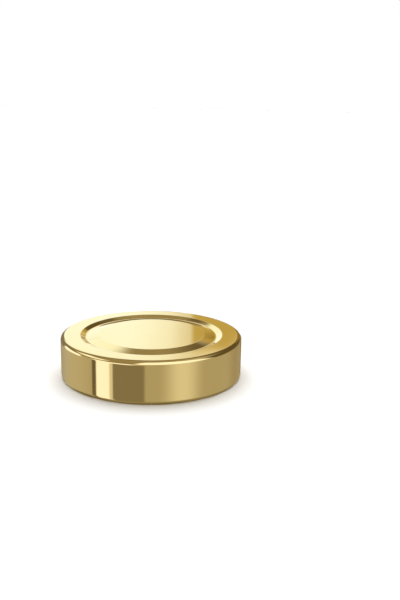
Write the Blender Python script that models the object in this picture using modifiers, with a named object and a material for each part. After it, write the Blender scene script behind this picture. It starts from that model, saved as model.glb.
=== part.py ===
# Twist-off jar lid: one pressed and curled tinplate shell, with a sealing ring flowed into its channel.
# Metres, +Z up. The origin is the centre of the mouth, in the plane that the lid rests on.

import math

import bmesh
import bpy
from mathutils import Vector

# Shell
OUTER_RADIUS = 0.0348
HEIGHT = 0.0160
PLATE_THICKNESS = 0.00018
SHOULDER_RADIUS = 0.0015  # rounding between the rim and the skirt

# Pressed panel, from the skirt inwards
RIM_WIDTH = 0.0075  # skirt to the groove's outer edge
GROOVE_WALL_WIDTH = 0.0022
GROOVE_SLOPE_WIDTH = 0.0048  # from the bottom of the groove up to the disc
GROOVE_DEPTH = 0.0009
DISC_DROP = 0.0001  # the disc lies this much below the rim
RIM_EDGE_RADIUS = 0.0012
GROOVE_BOTTOM_RADIUS = 0.0008
DISC_EDGE_RADIUS = 0.0015

# Curl at the mouth
CURL_RADIUS = 0.00085
CURL_RISE = 0.0015  # height at which the skirt starts to turn in to the foot
CURL_FOOT = 0.0002  # flat that the lid stands on
CURL_END_ANGLE = math.radians(300)  # how far the edge is rolled, from the skirt

# Lugs, pressed in from the curl
LUG_COUNT = 4
LUG_WIDTH = 0.010  # length at full depth
LUG_RUNOUT = 0.003  # length over which each end fades into the curl
LUG_REACH = 0.0018  # how far a lug stands in from the curl
LUG_SQUASH = 0.35  # share of the curl's height that the press takes away
LUG_LIFT = 0.0003  # the lug's underside above the foot

# Sealing ring
SEAL_GAP = 0.0003  # between the compound and the plate
SEAL_THICKNESS = 0.0011
SEAL_INSET = 0.0011  # from the groove's outer edge to the compound
SEAL_INNER_ROUNDING = 0.0006
SEAL_ROUNDING_LIMIT = 0.9  # largest outer rounding, as a share of the thickness

# Facets
TURN_STEPS = 72
EDGE_STEPS = 2
SHOULDER_STEPS = 5
FOOT_ARC_STEPS = 5
ROLL_STEPS = 8
SEAL_STEPS = 3
MERGE_DISTANCE = 0.00001
SMOOTH_ANGLE = math.radians(40)

CURL_WIDTH = 2 * CURL_RADIUS + CURL_FOOT


def collection_named(name):
    collection = bpy.data.collections.new(name)
    bpy.context.scene.collection.children.link(collection)
    return collection


def principled(name, colour, metallic, roughness):
    material = bpy.data.materials.new(name)
    material.use_nodes = True
    shader = material.node_tree.nodes["Principled BSDF"]
    shader.inputs["Base Color"].default_value = (*colour, 1)
    shader.inputs["Metallic"].default_value = metallic
    shader.inputs["Roughness"].default_value = roughness
    return material


def arc(centre, start, end, half_width, half_height, steps):
    """Points from angle start to angle end, round or oval, about a centre (radius, height)."""
    points = []
    for step in range(steps + 1):
        angle = start + (end - start) * step / steps
        points.append(centre + Vector((half_width * math.cos(angle), half_height * math.sin(angle))))
    return points


def fillet(before, corner, after, radius, steps):
    """The arc that rounds a corner between two straight runs."""
    back = (before - corner).normalized()
    ahead = (after - corner).normalized()
    half_angle = back.angle(ahead) / 2
    centre = corner + (back + ahead).normalized() * radius / math.sin(half_angle)
    first = (corner + back * radius / math.tan(half_angle) - centre).normalized()
    last = (corner + ahead * radius / math.tan(half_angle) - centre).normalized()
    return [centre + radius * first.slerp(last, step / steps) for step in range(steps + 1)]


def shell_outline():
    """The shell's outer face in section, from the centre of the disc round to the cut edge in the curl."""
    rim_inner = OUTER_RADIUS - RIM_WIDTH
    groove_bottom = rim_inner - GROOVE_WALL_WIDTH
    disc_radius = groove_bottom - GROOVE_SLOPE_WIDTH
    centre = Vector((0, HEIGHT - DISC_DROP))
    disc_edge = Vector((disc_radius, HEIGHT - DISC_DROP))
    groove = Vector((groove_bottom, HEIGHT - GROOVE_DEPTH))
    rim_edge = Vector((rim_inner, HEIGHT))
    shoulder = Vector((OUTER_RADIUS, HEIGHT))
    skirt_end = Vector((OUTER_RADIUS, CURL_RISE))
    outer_roll = skirt_end - Vector((CURL_RADIUS, 0))
    inner_roll = Vector((outer_roll.x - CURL_FOOT, CURL_RADIUS))
    lowest = -math.pi / 2
    return (
        [centre]
        + fillet(centre, disc_edge, groove, DISC_EDGE_RADIUS, EDGE_STEPS)
        + fillet(disc_edge, groove, rim_edge, GROOVE_BOTTOM_RADIUS, EDGE_STEPS)
        + fillet(groove, rim_edge, shoulder, RIM_EDGE_RADIUS, EDGE_STEPS)
        + fillet(rim_edge, shoulder, skirt_end, SHOULDER_RADIUS, SHOULDER_STEPS)
        + arc(outer_roll, 0, lowest, CURL_RADIUS, CURL_RISE, FOOT_ARC_STEPS)
        + arc(inner_roll, lowest, -CURL_END_ANGLE, CURL_RADIUS, CURL_RADIUS, ROLL_STEPS)
    )


def seal_outline():
    """The sealing ring's section: it follows the underside of the rim and shoulder at SEAL_GAP."""
    top = HEIGHT - PLATE_THICKNESS - SEAL_GAP
    outer = OUTER_RADIUS - PLATE_THICKNESS - SEAL_GAP
    inner = OUTER_RADIUS - RIM_WIDTH + SEAL_INSET
    top_inner = Vector((inner, top))
    top_outer = Vector((outer, top))
    low_outer = Vector((outer, top - SEAL_THICKNESS))
    low_inner = Vector((inner, top - SEAL_THICKNESS))
    shoulder_inside = SHOULDER_RADIUS - PLATE_THICKNESS - SEAL_GAP
    outer_rounding = min(shoulder_inside, SEAL_ROUNDING_LIMIT * SEAL_THICKNESS)
    return (
        [top_inner]
        + fillet(top_inner, top_outer, low_outer, outer_rounding, SEAL_STEPS)
        + [low_outer]
        + fillet(low_outer, low_inner, top_inner, SEAL_INNER_ROUNDING, SEAL_STEPS)
    )


def turned(name, outline, closed, collection):
    """An object whose outline is swept round Z by a Screw modifier."""
    mesh = bpy.data.meshes.new(name)
    edges = [(index, index + 1) for index in range(len(outline) - 1)]
    if closed:
        edges.append((len(outline) - 1, 0))
    mesh.from_pydata([(point.x, 0, point.y) for point in outline], edges, [])
    item = bpy.data.objects.new(name, mesh)
    collection.objects.link(item)
    screw = item.modifiers.new("turn", "SCREW")
    screw.steps = TURN_STEPS
    screw.render_steps = TURN_STEPS
    screw.use_merge_vertices = True
    screw.merge_threshold = MERGE_DISTANCE
    return item


def apply_modifiers(item):
    """Replaces an object's mesh with the one that its modifiers make."""
    evaluated = item.evaluated_get(bpy.context.evaluated_depsgraph_get())
    mesh = bpy.data.meshes.new_from_object(evaluated)
    item.modifiers.clear()
    item.data = mesh


def ease(share):
    """A smooth rise from 0 to 1 as share goes from 0 to 1."""
    share = min(max(share, 0), 1)
    return share * share * (3 - 2 * share)


def lug_depth(angle):
    """How fully the curl is pressed into a lug at an angle round the lid: 1 in a lug, 0 between lugs."""
    pitch = 2 * math.pi / LUG_COUNT
    from_lug = abs((angle + pitch / 2) % pitch - pitch / 2) * (OUTER_RADIUS - CURL_WIDTH)
    return ease(1 - (from_lug - LUG_WIDTH / 2) / LUG_RUNOUT)


def press_lugs(shell):
    """Draws the inner half of the curl inwards and flattens it where the lugs are."""
    mesh = bmesh.new()
    mesh.from_mesh(shell.data)
    for vertex in mesh.verts:
        radius = vertex.co.xy.length
        inner_share = (OUTER_RADIUS - CURL_RADIUS - radius) / CURL_FOOT
        if inner_share <= 0 or vertex.co.z > HEIGHT / 2:
            continue  # the skirt, the curl's outer half and the panel stay as turned
        depth = lug_depth(math.atan2(vertex.co.y, vertex.co.x)) * min(inner_share, 1)
        vertex.co.xy *= (radius - depth * LUG_REACH) / radius
        vertex.co.z += depth * (LUG_LIFT - LUG_SQUASH * vertex.co.z)
    mesh.to_mesh(shell.data)
    mesh.free()


def give_plate_thickness(shell):
    """Thickens the outer face inwards to the plate."""
    solidify = shell.modifiers.new("plate", "SOLIDIFY")
    solidify.thickness = PLATE_THICKNESS
    solidify.offset = -1
    solidify.use_even_offset = True


def finish(item, material):
    item.data.materials.append(material)
    item.data.shade_smooth()
    item.data.set_sharp_from_angle(angle=SMOOTH_ANGLE)


def main():
    for item in list(bpy.data.objects):
        bpy.data.objects.remove(item)
    parts = collection_named("jar_lid")
    lacquer = principled("gold_lacquer", (0.90, 0.70, 0.33), 1.0, 0.18)
    compound = principled("sealing_compound", (0.80, 0.77, 0.68), 0.0, 0.55)

    shell = turned("lid_shell", shell_outline(), False, parts)
    apply_modifiers(shell)
    press_lugs(shell)
    finish(shell, lacquer)
    give_plate_thickness(shell)

    seal = turned("sealing_ring", seal_outline(), True, parts)
    apply_modifiers(seal)
    finish(seal, compound)


main()
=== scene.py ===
# A gold twist-off jar lid, open side down on a white table.
# Sizes in the dictionaries are in millimetres and degrees; the meshes are in metres.

import math

import bmesh
import bpy
from mathutils import Matrix, Vector


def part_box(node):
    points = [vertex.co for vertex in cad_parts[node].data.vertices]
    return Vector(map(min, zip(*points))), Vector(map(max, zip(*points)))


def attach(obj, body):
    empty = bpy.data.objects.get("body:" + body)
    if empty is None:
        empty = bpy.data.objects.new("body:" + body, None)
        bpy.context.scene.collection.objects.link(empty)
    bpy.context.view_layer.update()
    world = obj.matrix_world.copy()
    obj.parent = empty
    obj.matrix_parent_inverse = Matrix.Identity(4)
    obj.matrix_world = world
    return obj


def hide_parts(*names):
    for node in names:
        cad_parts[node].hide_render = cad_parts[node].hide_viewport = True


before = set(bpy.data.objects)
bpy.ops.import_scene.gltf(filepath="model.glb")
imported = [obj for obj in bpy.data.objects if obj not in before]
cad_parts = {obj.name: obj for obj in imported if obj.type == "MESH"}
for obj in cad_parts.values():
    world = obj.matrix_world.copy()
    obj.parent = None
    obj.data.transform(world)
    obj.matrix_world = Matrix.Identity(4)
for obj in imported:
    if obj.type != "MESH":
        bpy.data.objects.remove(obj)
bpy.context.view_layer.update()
mm = 0.001
weldDistance = 0.001 * mm  # points closer than this are one point
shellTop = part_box("lid_shell")[1] / mm
skirtRadius, lidHeight = shellTop.x, shellTop.z
print(f"frame loaded: the lid is {2 * skirtRadius:.1f} mm across and {lidHeight:.1f} mm high")


class Wire:
    # an output socket that works like a number: each operator adds its Math node

    def __init__(self, board, socket):
        self.board = board
        self.socket = socket

    def math(self, operation, *others):
        values = dict(enumerate((self, *others)))
        return self.board.add("Math", {"operation": operation}, values)

    def __add__(self, other):
        return self.math("ADD", other)

    def __sub__(self, other):
        return self.math("SUBTRACT", other)

    def __rsub__(self, other):
        return self.board.add("Math", {"operation": "SUBTRACT"}, {0: other, 1: self})

    def __mul__(self, other):
        return self.math("MULTIPLY", other)

    __radd__ = __add__
    __rmul__ = __mul__

    def rise(self, start, end):  # 0 at start, 1 at end, eased at both
        sockets = {"Value": self, "From Min": start, "From Max": end}
        return self.board.add("MapRange", {"interpolation_type": "SMOOTHSTEP"}, sockets)

    def beside(self, name):  # another output of the same node
        return Wire(self.board, self.socket.node.outputs[name])


class Board:
    # the nodes of one material or of the world; a socket goes by its name, or by its place

    def __init__(self, owner):
        owner.use_nodes = True
        self.tree = owner.node_tree
        self.tree.nodes.clear()

    def add(self, kind, settings=None, sockets=None, give=0):
        node = self.tree.nodes.new("ShaderNode" + kind)
        for name, value in (settings or {}).items():
            setattr(node, name, value)
        for name, value in (sockets or {}).items():
            if isinstance(value, Wire):
                self.tree.links.new(value.socket, node.inputs[name])
            else:
                node.inputs[name].default_value = value
        return Wire(self, node.outputs[give]) if len(node.outputs) else None

    def blend(self, share, first, second):
        # from the first colour to the second as share goes from 0 to 1
        colours = {6: paint(first), 7: paint(second)}
        return self.add("Mix", {"data_type": "RGBA"}, {0: share, **colours}, give=2)


def paint(colour):  # a written colour gets its alpha, a linked one stays as it is
    return colour if isinstance(colour, Wire) else (*colour, 1)


def newMaterial(name):
    material = bpy.data.materials.new(name)
    return material, Board(material)


# Outlines: points (radius, height), turned about the lid's axis

def arcPoints(centre, start, end, halfWidth, halfHeight, steps):
    # a round or oval arc
    points = []
    for step in range(steps + 1):
        angle = math.radians(start + (end - start) * step / steps)
        points.append(centre + Vector((halfWidth * math.cos(angle), halfHeight * math.sin(angle))))
    return points


def roundedCorner(before, corner, after, radius, steps, lead=0.0):
    # the arc that rounds a corner; with lead, a point on each straight run keeps it flat in the shading
    back = (before - corner).normalized()
    ahead = (after - corner).normalized()
    halfAngle = back.angle(ahead) / 2
    reach = radius / math.tan(halfAngle)
    centre = corner + (back + ahead).normalized() * radius / math.sin(halfAngle)
    first = (corner + back * reach - centre).normalized()
    last = (corner + ahead * reach - centre).normalized()
    points = [centre + radius * first.slerp(last, step / steps) for step in range(steps + 1)]
    if lead:
        points = [corner + back * (reach + lead)] + points + [corner + ahead * (reach + lead)]
    return points


def turnOutline(name, outline, segments, material, closed=False):
    # spins the outline into a mesh; sheetPlace keeps where a point lay on the flat sheet, in mm
    turned = bmesh.new()
    along = turned.verts.layers.float.new("along")
    sheetPlace = turned.verts.layers.float_vector.new("sheetPlace")
    travelled = outline[0].x
    line = []
    for index, point in enumerate(outline):
        if index:
            travelled += (point - outline[index - 1]).length
        vert = turned.verts.new((point.x * mm, 0, point.y * mm))
        vert[along] = travelled
        line.append(vert)
    edges = [turned.edges.new(pair) for pair in zip(line, line[1:])]
    if closed:
        edges.append(turned.edges.new((line[-1], line[0])))
    bmesh.ops.spin(turned, geom=line + edges, axis=(0, 0, 1), angle=math.tau, steps=segments)
    bmesh.ops.remove_doubles(turned, verts=turned.verts, dist=weldDistance)
    bmesh.ops.recalc_face_normals(turned, faces=turned.faces)
    highest = max(turned.faces, key=lambda face: face.calc_center_median().z)
    if highest.normal.z < 0:  # the top faces up
        bmesh.ops.reverse_faces(turned, faces=turned.faces)
    for vert in turned.verts:
        angle = math.atan2(vert.co.y, vert.co.x)
        vert[sheetPlace] = Vector((math.cos(angle), math.sin(angle), 0)) * vert[along]
    mesh = bpy.data.meshes.new(name)
    turned.to_mesh(mesh)
    turned.free()
    mesh.shade_smooth()
    mesh.materials.append(material)
    piece = bpy.data.objects.new(name, mesh)
    bpy.context.scene.collection.objects.link(piece)
    return piece


# Shell

shell = {
    "plate": 0.18,  # thickness of the sheet
    "shoulderWidth": 1.85,  # the shoulder is rounded a little wider than high
    "shoulderDrop": 1.5,
    "rimWidth": 7.5,  # skirt to the groove's outer edge
    "grooveWall": 2.2,  # width of the groove's steep outer side
    "grooveSlope": 4.8,  # width of its gentle inner side
    "grooveDepth": 0.9,
    "discDrop": 0.1,  # how far the disc lies below the rim
    "rimEdgeRounding": 0.5,
    "grooveRounding": 2.0,
    "discEdgeRounding": 1.5,
    "curlRadius": 0.85,
    "curlRise": 1.5,  # height at which the skirt starts to turn in to the foot
    "curlFoot": 0.2,  # width of the flat under the curl
    "curlTurn": 300,  # how far the edge is rolled
    "segments": 384,
    "lead": 0.06,  # from a rounding's end to the point that keeps the flat beside it flat
    "steps": {"discEdge": 5, "groove": 7, "rimEdge": 6, "shoulder": 24, "foot": 14, "roll": 22},
}

lugs = {
    "count": 4,
    "width": 10.0,
    "runout": 3.0,  # from a lug's end to the untouched curl
    "reach": 1.8,  # how far a lug is pressed inwards
    "squash": 0.35,  # share of the curl's height that it loses there
    "lift": 0.3,  # how far it is raised there
}


def shoulderArc(inset, steps):
    # the bend from the rim to the skirt, or the one that runs inside it at the given distance
    width = shell["shoulderWidth"]
    drop = shell["shoulderDrop"]
    centre = Vector((skirtRadius - width, lidHeight - drop))
    return arcPoints(centre, 90, 0, width - inset, drop - inset, steps)


def shellOutline():
    # the sheet's outer side, from the middle of the disc to the end of the roll
    steps = shell["steps"]
    rimInner = skirtRadius - shell["rimWidth"]
    grooveBottom = rimInner - shell["grooveWall"]
    discRadius = grooveBottom - shell["grooveSlope"]
    discHeight = lidHeight - shell["discDrop"]
    centre = Vector((0, discHeight))
    discEdge = Vector((discRadius, discHeight))
    groove = Vector((grooveBottom, lidHeight - shell["grooveDepth"]))
    rimEdge = Vector((rimInner, lidHeight))
    shoulder = shoulderArc(0, steps["shoulder"])
    curlRadius = shell["curlRadius"]
    skirtEnd = Vector((skirtRadius, shell["curlRise"]))
    outerRoll = skirtEnd - Vector((curlRadius, 0))
    innerRoll = Vector((outerRoll.x - shell["curlFoot"], curlRadius))
    lead = shell["lead"]
    return (
        [centre]
        + roundedCorner(centre, discEdge, groove, shell["discEdgeRounding"], steps["discEdge"], lead)
        + roundedCorner(discEdge, groove, rimEdge, shell["grooveRounding"], steps["groove"], lead)
        + roundedCorner(groove, rimEdge, shoulder[0], shell["rimEdgeRounding"], steps["rimEdge"], lead)
        + [shoulder[0] - Vector((lead, 0))]
        + shoulder
        + [shoulder[-1] - Vector((0, lead)), skirtEnd + Vector((0, lead))]
        + arcPoints(outerRoll, 0, -90, curlRadius, shell["curlRise"], steps["foot"])
        + arcPoints(innerRoll, -90, -shell["curlTurn"], curlRadius, curlRadius, steps["roll"])
    )


def lugDepth(angle):
    # 1 where the curl is pressed into a lug, 0 between the lugs
    pitch = math.tau / lugs["count"]
    mouthRadius = skirtRadius - 2 * shell["curlRadius"] - shell["curlFoot"]
    fromLug = abs((angle + pitch / 2) % pitch - pitch / 2) * mouthRadius
    share = min(max(1 - (fromLug - lugs["width"] / 2) / lugs["runout"], 0), 1)
    return share * share * (3 - 2 * share)  # eased at both ends


def pressLugs(piece):
    # the inner part of the curl moves inwards, the skirt and the panel stay
    for vert in piece.data.vertices:
        radius = vert.co.xy.length / mm
        innerShare = (skirtRadius - shell["curlRadius"] - radius) / shell["curlFoot"]
        if innerShare <= 0 or vert.co.z > lidHeight / 2 * mm:
            continue
        depth = lugDepth(math.atan2(vert.co.y, vert.co.x)) * min(innerShare, 1)
        vert.co.xy *= (radius - depth * lugs["reach"]) / radius
        vert.co.z += depth * (lugs["lift"] * mm - lugs["squash"] * vert.co.z)


def lacquer(name, look):
    # gold lacquer on tinplate: the sheet's rolling grain and the lacquer's faint unevenness
    material, board = newMaterial(name)
    sheet = board.add("Attribute", {"attribute_name": "sheetPlace"}, give="Vector")
    rolled = board.add("Mapping", {}, {"Vector": sheet, "Scale": (look["grainStretch"], 1, 1)})
    grain = board.add("TexNoise", {}, {"Vector": rolled, "Scale": 1 / look["grainWidth"], "Detail": 3})
    cloud = board.add("TexNoise", {}, {"Vector": sheet, "Scale": 1 / look["cloudSize"], "Detail": 1})
    tint = board.blend(cloud * look["cloudTint"], look["colour"], look["deepColour"])
    roughness = (grain - 0.5) * look["grainRoughness"] + look["roughness"]
    peel = board.add("TexNoise", {}, {"Vector": sheet, "Scale": 1 / look["peelSize"], "Detail": 1})
    relief = peel + grain * look["grainRelief"]
    bump = board.add("Bump", {}, {"Height": relief, "Distance": look["peelHeight"] * mm, "Strength": 1})
    surface = {
        "Base Color": tint,
        "Metallic": 1,
        "Roughness": roughness,
        "Coat Weight": look["coat"],
        "Coat Roughness": look["coatRoughness"],
        "Normal": bump,
    }
    shader = board.add("BsdfPrincipled", {}, surface)
    board.add("OutputMaterial", {}, {"Surface": shader})
    return material


outsideLook = {
    "colour": (0.90, 0.70, 0.33),
    "deepColour": (0.84, 0.62, 0.26),
    "cloudTint": 0.3,  # share of the deep colour where the lacquer lies thickest
    "cloudSize": 9.0,
    "roughness": 0.055,
    "grainRoughness": 0.03,
    "grainWidth": 0.35,
    "grainStretch": 0.03,  # the smaller, the longer the grain
    "grainRelief": 0.1,  # its height against the lacquer's waves
    "peelSize": 2.5,
    "peelHeight": 0.0012,
    "coat": 0.2,
    "coatRoughness": 0.03,
}
insideLook = {**outsideLook, "roughness": 0.2, "coat": 0.1}

goldOutside = lacquer("goldLacquer", outsideLook)
goldInside = lacquer("goldLacquerInside", insideLook)
lidShell = turnOutline("lidShell", shellOutline(), shell["segments"], goldOutside)
pressLugs(lidShell)
lidShell.data.materials.append(goldInside)
plate = lidShell.modifiers.new("plate", "SOLIDIFY")
plate.thickness = shell["plate"] * mm
plate.offset = -1  # inwards from the outline
plate.use_even_offset = True
plate.material_offset = 1
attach(lidShell, "root")
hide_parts("lid_shell")
print(f"shell turned: {len(lidShell.data.polygons)} faces before the plate's thickness")


# Sealing ring

seal = {
    "plateGap": 0.02,  # it adheres to the plate; this only keeps the faces apart
    "low": 14.42,  # height of its lower face
    "inner": 28.4,  # radius of its opening
    "innerRounding": 0.6,
    "hollow": 0.12,  # how far the lower face sinks between its edges
    "segments": 288,
    "sharpAngle": 50,
    "steps": {"shoulder": 10, "lowFace": 14, "innerEdge": 8},
}


def sealOutline():
    # round its section: the top, the shoulder, back along the lower face and up the inner edge
    steps = seal["steps"]
    wall = shell["plate"] + seal["plateGap"]
    top = lidHeight - wall
    outer = skirtRadius - wall
    topInner = Vector((seal["inner"], top))
    lowOuter = Vector((outer, seal["low"]))
    lowInner = Vector((seal["inner"], seal["low"]))
    innerEdge = roundedCorner(lowOuter, lowInner, topInner, seal["innerRounding"], steps["innerEdge"])
    flatWidth = outer - innerEdge[0].x
    lowFace = []
    for step in range(1, steps["lowFace"]):
        share = step / steps["lowFace"]
        dip = seal["hollow"] * math.sin(math.pi * share)
        lowFace.append(Vector((outer - flatWidth * share, seal["low"] + dip)))
    return [topInner] + shoulderArc(wall, steps["shoulder"]) + [lowOuter] + lowFace + innerEdge


def compound(look):
    # soft compound, faintly mottled
    material, board = newMaterial("sealingCompound")
    place = board.add("TexCoord", {}, {}, give="Object")
    scale = 1 / (look["mottleSize"] * mm)
    mottle = board.add("TexNoise", {}, {"Vector": place, "Scale": scale, "Detail": 4})
    tint = board.blend(mottle, look["colour"], look["shade"])
    roughness = (mottle - 0.5) * look["roughnessSpread"] + look["roughness"]
    bump = board.add("Bump", {}, {"Height": mottle, "Distance": look["relief"] * mm})
    surface = {"Base Color": tint, "Roughness": roughness, "Normal": bump}
    shader = board.add("BsdfPrincipled", {}, surface)
    board.add("OutputMaterial", {}, {"Surface": shader})
    return material


compoundLook = {
    "colour": (0.83, 0.80, 0.71),
    "shade": (0.77, 0.74, 0.65),
    "mottleSize": 1.4,
    "roughness": 0.5,
    "roughnessSpread": 0.15,
    "relief": 0.02,
}

paleCompound = compound(compoundLook)
sealingRing = turnOutline("sealingRing", sealOutline(), seal["segments"], paleCompound, closed=True)
sealingRing.data.set_sharp_from_angle(angle=math.radians(seal["sharpAngle"]))
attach(sealingRing, "root")
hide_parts("sealing_ring")
print(f"sealing ring turned: {len(sealingRing.data.polygons)} faces")


# Studio

table = {
    "radius": 20000,
    "segments": 256,
    "colour": (0.95, 0.95, 0.95),
    "roughness": 0.9,
    "glow": 0.04,  # what camera rays see on top of the light, so that the table is white
}


def tableMaterial():
    material, board = newMaterial("whiteTable")
    fromCamera = board.add("LightPath", {}, {}, give="Is Camera Ray")
    surface = {
        "Base Color": paint(table["colour"]),
        "Roughness": table["roughness"],
        "Specular IOR Level": 0,
        "Emission Color": (1, 1, 1, 1),
        "Emission Strength": fromCamera * table["glow"],
    }
    shader = board.add("BsdfPrincipled", {}, surface)
    board.add("OutputMaterial", {}, {"Surface": shader})
    return material


def makeTable():
    top = bmesh.new()
    radius = table["radius"] * mm
    bmesh.ops.create_circle(top, cap_ends=True, segments=table["segments"], radius=radius)
    mesh = bpy.data.meshes.new("table")
    top.to_mesh(mesh)
    top.free()
    mesh.materials.append(tableMaterial())
    piece = bpy.data.objects.new("table", mesh)
    bpy.context.scene.collection.objects.link(piece)
    piece.visible_glossy = False  # the metal mirrors the tent below the horizon too


# The metal mirrors a tent round the table: a plain wall with lit and dark panels, the last one on top.
# facing is where a panel's middle lies: 0 behind the lid, 90 to its right, 180 in front.
# width and the heights low and high are in degrees, blur and fade soften the sides and the ends.
# Most panels stand where the lid's flats and slopes mirror them towards the camera.

tones = {
    "lamp": (1.30, 1.38, 1.55),
    "window": (1.27, 1.30, 1.52),
    "sky": (1.12, 1.25, 1.26),
    "cream": (0.93, 0.87, 0.61),
    "pale": (0.78, 0.77, 0.67),
    "tan": (0.475, 0.445, 0.34),
    # painted shade: the table in the lid's shadow, as the foot of the skirt mirrors it
    "shadedFloor": (0.30, 0.275, 0.19),
    "sand": (0.54, 0.51, 0.41),
    "khaki": (0.39, 0.34, 0.215),
    "olive": (0.33, 0.28, 0.16),
    "shade": (0.25, 0.225, 0.16),
    "dusk": (0.16, 0.135, 0.085),
    "straw": (0.72, 0.66, 0.42),
    "amber": (0.57, 0.43, 0.115),
    "bronze": (0.30, 0.20, 0.05),
    "brown": (0.125, 0.095, 0.042),
}

tent = {
    "radius": 20000,
    "segments": 64,
    "rings": 32,
    "wall": "tan",
    "panels": [
        # low, for the skirt's right and left sides
        {"tone": "khaki", "facing": 12, "width": 90, "blur": 30, "low": -90, "high": 4, "fade": 10},
        {"tone": "sand", "facing": -72, "width": 50, "blur": 34, "low": -90, "high": 8, "fade": 10},
        # high all round, and lower on the left
        {"tone": "olive", "facing": -80, "width": 200, "blur": 60, "low": 8, "high": 120, "fade": 20},
        {"tone": "olive", "facing": 0, "width": 400, "blur": 10, "low": 66, "high": 120, "fade": 24},
        # the lamp on the right with its glow above and below, and the dark wall beside it
        {"tone": "pale", "facing": 125, "width": 90, "blur": 50, "low": 44, "high": 68, "fade": 20},
        {"tone": "pale", "facing": 137, "width": 34, "blur": 30, "low": -90, "high": 20, "fade": 20},
        {"tone": "brown", "facing": 49, "width": 90, "blur": 10, "low": 2, "high": 48, "fade": 24},
        {"tone": "lamp", "facing": 148, "width": 98, "blur": 14, "low": 14, "high": 80, "fade": 22},
        # front left: dark above, a window below
        {"tone": "olive", "facing": -137, "width": 44, "blur": 14, "low": 12, "high": 66, "fade": 14},
        {"tone": "lamp", "facing": -135, "width": 52, "blur": 14, "low": -14, "high": 10, "fade": 10},
        # low at the front left, for the skirt: a dark band, a bright stripe, its soft edge, a dark line
        {"tone": "shade", "facing": -154.2, "width": 42, "blur": 5, "low": -90, "high": -17, "fade": 1.5},
        {"tone": "window", "facing": -122.6, "width": 22.6, "blur": 4, "low": -90, "high": -12, "fade": 6},
        {"tone": "pale", "facing": -132.4, "width": 4.2, "blur": 3, "low": -90, "high": -17, "fade": 3},
        {"tone": "dusk", "facing": -108, "width": 6, "blur": 2, "low": -90, "high": -10, "fade": 6},
        # on the left: a window, the lamp over it and the dark between and beside them
        {"tone": "shade", "facing": -34, "width": 38, "blur": 8, "low": -15, "high": 30, "fade": 4},
        {"tone": "lamp", "facing": -69, "width": 37, "blur": 6, "low": -16.5, "high": 17, "fade": 3},
        {"tone": "lamp", "facing": -88, "width": 58, "blur": 10, "low": 31, "high": 49, "fade": 8},
        {"tone": "shade", "facing": -58, "width": 56, "blur": 10, "low": 17, "high": 32, "fade": 6},
        # high behind the lid: a dark strip, for the groove's near border
        {"tone": "dusk", "facing": 0, "width": 70, "blur": 20, "low": 41, "high": 49, "fade": 5},
        # behind the lid: bronze low down and on the right
        {"tone": "bronze", "facing": 0, "width": 30, "blur": 4, "low": -22, "high": -6, "fade": 3},
        {"tone": "bronze", "facing": 11, "width": 20, "blur": 6, "low": -19, "high": 23, "fade": 4},
        # behind the lid, on the left: the bright backdrop, for the disc, the rim and the groove
        {"tone": "sky", "facing": -9.5, "width": 11, "blur": 4, "low": -10, "high": 8, "fade": 3},
        {"tone": "sky", "facing": -18.6, "width": 17.6, "blur": 4, "low": 20, "high": 34.5, "fade": 8},
        {"tone": "sky", "facing": -9, "width": 22, "blur": 5, "low": 19, "high": 25, "fade": 5},
        {"tone": "sky", "facing": -9, "width": 16, "blur": 3, "low": 7, "high": 20, "fade": 5},
        # the backdrop's right and upper edges, and the amber beside it
        {"tone": "straw", "facing": -2, "width": 5, "blur": 3, "low": -5, "high": 12, "fade": 4},
        {"tone": "khaki", "facing": -2.6, "width": 3, "blur": 1.5, "low": 5, "high": 12, "fade": 3},
        {"tone": "cream", "facing": 2, "width": 8, "blur": 8, "low": 10, "high": 26, "fade": 4},
        {"tone": "amber", "facing": 5.4, "width": 6, "blur": 3, "low": 3, "high": 23, "fade": 5},
        {"tone": "sky", "facing": -8.3, "width": 11.4, "blur": 2.4, "low": 18.9, "high": 24, "fade": 1.2},
        {"tone": "straw", "facing": 2.2, "width": 2.4, "blur": 1, "low": 10, "high": 14, "fade": 1.5},
        {"tone": "amber", "facing": 2, "width": 5, "blur": 0.4, "low": 14, "high": 17.8, "fade": 0.6},
        # over and right of the amber: a dark patch and light strips, for the groove's right end
        {"tone": "bronze", "facing": 9, "width": 5.4, "blur": 5, "low": 9, "high": 20, "fade": 6},
        {"tone": "straw", "facing": 4.9, "width": 1.2, "blur": 0.5, "low": 14.5, "high": 17, "fade": 2},
        {"tone": "straw", "facing": 4.4, "width": 3, "blur": 2, "low": 17, "high": 24, "fade": 2},
        # low all round, for the foot of the skirt: painted shade in place of the shaded table under the
        # lid, which the metal mirrors instead of the table; darkest straight below
        {"tone": "shadedFloor", "facing": 0, "width": 400, "blur": 10, "low": -90, "high": -34, "fade": 14},
        {"tone": "dusk", "facing": -20, "width": 150, "blur": 50, "low": -90, "high": -34, "fade": 18},
        {"tone": "brown", "facing": 0, "width": 400, "blur": 10, "low": -90, "high": -68, "fade": 12},
    ],
}


def tentMaterial():
    material, board = newMaterial("tentPanels")
    place = board.add("TexCoord", {}, {}, give="Object")
    direction = board.add("VectorMath", {"operation": "NORMALIZE"}, {0: place})
    x = board.add("SeparateXYZ", {}, {"Vector": direction}, give="X")
    toDegrees = math.degrees(1)
    facing = x.math("ARCTAN2", x.beside("Y")) * toDegrees
    height = x.beside("Z").math("ARCSINE") * toDegrees
    colour = tones[tent["wall"]]
    for panel in tent["panels"]:
        aside = (facing - panel["facing"]).math("PINGPONG", 180)  # degrees from the panel's middle
        half = panel["width"] / 2
        blur = panel["blur"] / 2
        fade = panel["fade"] / 2
        mask = (
            aside.rise(half + blur, half - blur)
            * height.rise(panel["low"] - fade, panel["low"] + fade)
            * height.rise(panel["high"] + fade, panel["high"] - fade)
        )
        colour = board.blend(mask, colour, tones[panel["tone"]])
    glow = board.add("Emission", {}, {"Color": colour, "Strength": 1})
    board.add("OutputMaterial", {}, {"Surface": glow})
    return material


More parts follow.
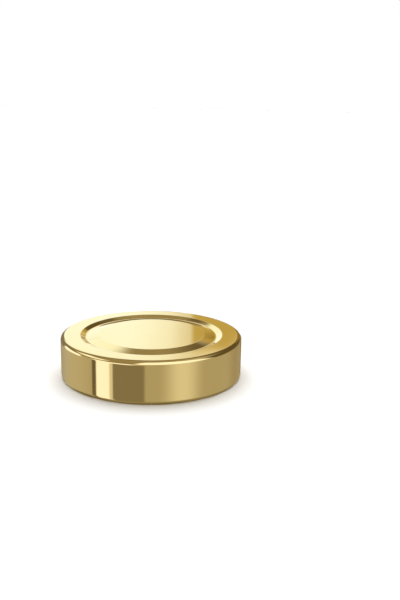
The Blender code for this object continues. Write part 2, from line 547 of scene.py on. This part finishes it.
def makeTent():
    # seen by glossy rays alone, so it lights and shades nothing
    ball = bmesh.new()
    segments, rings = tent["segments"], tent["rings"]
    bmesh.ops.create_uvsphere(ball, u_segments=segments, v_segments=rings, radius=tent["radius"] * mm)
    mesh = bpy.data.meshes.new("tent")
    ball.to_mesh(mesh)
    ball.free()
    mesh.materials.append(tentMaterial())
    cloth = bpy.data.objects.new("tent", mesh)
    bpy.context.scene.collection.objects.link(cloth)
    for ray in ("camera", "diffuse", "shadow", "transmission", "volume_scatter"):
        setattr(cloth, "visible_" + ray, False)


# The world is white where it is seen, and a soft overhead dome where it lights.

dome = {
    "overhead": 4.6,  # strength at its brightest
    "around": 0.03,  # strength outside the bright part
    "aim": (-0.02, 0.28, 1),  # the middle of its bright part
    "spread": (5, 42),  # degrees from aim over which it falls off
}


def makeWorld():
    world = bpy.data.worlds.new("whiteStudio")
    board = Board(world)
    fromCamera = board.add("LightPath", {}, {}, give="Is Camera Ray")
    mirrored = fromCamera.beside("Is Glossy Ray")
    through = fromCamera.beside("Is Transmission Ray")
    seen = (fromCamera + mirrored + through).math("MINIMUM", 1)
    direction = board.add("TexCoord", {}, {}, give="Generated")
    aim = Vector(dome["aim"]).normalized()
    towards = board.add("VectorMath", {"operation": "DOT_PRODUCT"}, {0: direction, 1: aim}, give="Value")
    near, far = (math.cos(math.radians(angle)) for angle in dome["spread"])
    level = towards.rise(far, near) * (dome["overhead"] - dome["around"]) + dome["around"]
    strength = seen + (1 - seen) * level
    sky = board.add("Background", {}, {"Color": (1, 1, 1, 1), "Strength": strength})
    board.add("OutputWorld", {}, {"Surface": sky})
    bpy.context.scene.world = world


view = {
    "place": (18.5, -288.05, 101.8),
    "lens": 46.5,
    "sensor": 36,
    "down": 14.08,  # below the horizon
    "roll": 1.05,
    "nearest": 10,  # what the camera sees starts and ends at these distances
    "farthest": 100000,
}


def makeCamera():
    data = bpy.data.cameras.new("camera")
    data.lens = view["lens"]
    data.sensor_width = view["sensor"]
    data.clip_start = view["nearest"] * mm
    data.clip_end = view["farthest"] * mm
    camera = bpy.data.objects.new("camera", data)
    bpy.context.scene.collection.objects.link(camera)
    place = Matrix.Translation(Vector(view["place"]) * mm)
    tilt = Matrix.Rotation(math.radians(90 - view["down"]), 4, "X")
    camera.matrix_world = place @ tilt @ Matrix.Rotation(math.radians(view["roll"]), 4, "Z")
    bpy.context.scene.camera = camera


makeTable()
makeTent()
makeWorld()
makeCamera()
bpy.context.scene.view_settings.view_transform = "Standard"
print("studio ready")
